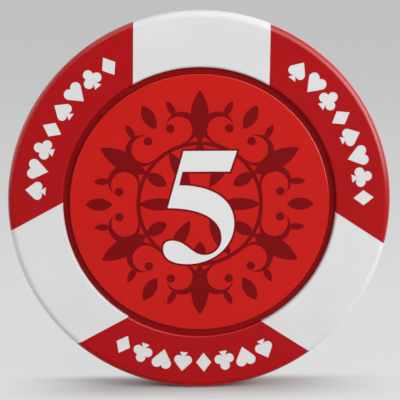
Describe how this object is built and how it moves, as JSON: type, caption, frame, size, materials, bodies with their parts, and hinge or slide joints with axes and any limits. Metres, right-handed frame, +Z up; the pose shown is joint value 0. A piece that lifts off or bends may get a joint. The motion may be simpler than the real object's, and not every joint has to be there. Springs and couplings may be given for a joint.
{
  "type": "poker chip",
  "caption": "Round red poker chip with white edge bars, rows of white suit marks, a steel slug inside and a recessed printed inlay with the value 5 on each face.",
  "frame": {"origin": "lowest point of the rim, at the joint of the two halves, with the chip standing on edge", "axes": "+Z up, the numeral's upright; +Y along the chip's axis, out of the back face; the front face looks along -Y; +X to the right as seen from the front"},
  "size_m": [0.04, 0.0034, 0.04],
  "materials": {
    "slug_steel": "satin",
    "red_body": "satin",
    "white_insert": "satin",
    "white_mark": "satin",
    "inlay_glue": "matte",
    "inlay_film": "satin",
    "dark_ink": "satin",
    "white_ink": "satin"
  },
  "bodies": {
    "root": {"steel_slug": "slug_steel", "front_half": "red_body", "back_half": "red_body", "edge_insert_top": "white_insert", "edge_insert_left": "white_insert", "edge_insert_right": "white_insert", "front_marks_left": "white_mark", "front_marks_right": "white_mark", "front_marks_bottom": "white_mark", "back_marks_left": "white_mark", "back_marks_right": "white_mark", "back_marks_bottom": "white_mark", "front_adhesive": "inlay_glue", "back_adhesive": "inlay_glue", "front_inlay": "inlay_film", "back_inlay": "inlay_film", "front_ornament": "dark_ink", "back_ornament": "dark_ink", "front_numeral": "white_ink", "back_numeral": "white_ink"}
  },
  "joints": []
}
